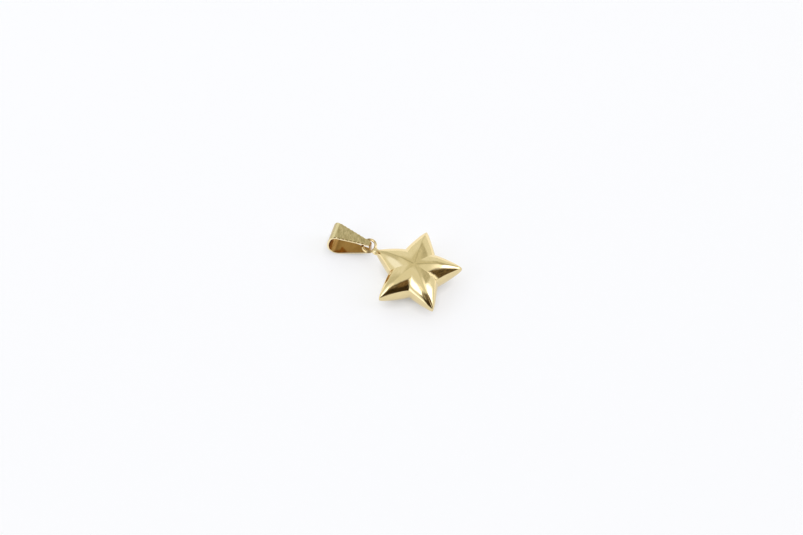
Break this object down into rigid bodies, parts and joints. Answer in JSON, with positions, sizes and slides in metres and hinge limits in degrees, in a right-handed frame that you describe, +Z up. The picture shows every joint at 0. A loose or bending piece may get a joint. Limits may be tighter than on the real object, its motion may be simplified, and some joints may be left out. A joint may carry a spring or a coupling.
{
  "type": "star pendant",
  "caption": "Puffed five-armed star pendant in gold, with a soldered wire ring on one tip and a tapered folded strip bail hanging on the ring.",
  "frame": {"origin": "middle of the whole pendant's box in plan, on the table that it lies on", "axes": "+Z up from the table, +X from the bail towards the star, +Y away from the viewer"},
  "size_m": [0.0292, 0.0214, 0.0077],
  "materials": {
    "polished_gold": "mirror polished yellow gold",
    "satin_gold": "satin yellow gold with polished cut edges"
  },
  "bodies": {
    "root": {"star_with_ring": "polished_gold", "bail": "satin_gold"}
  },
  "joints": []
}
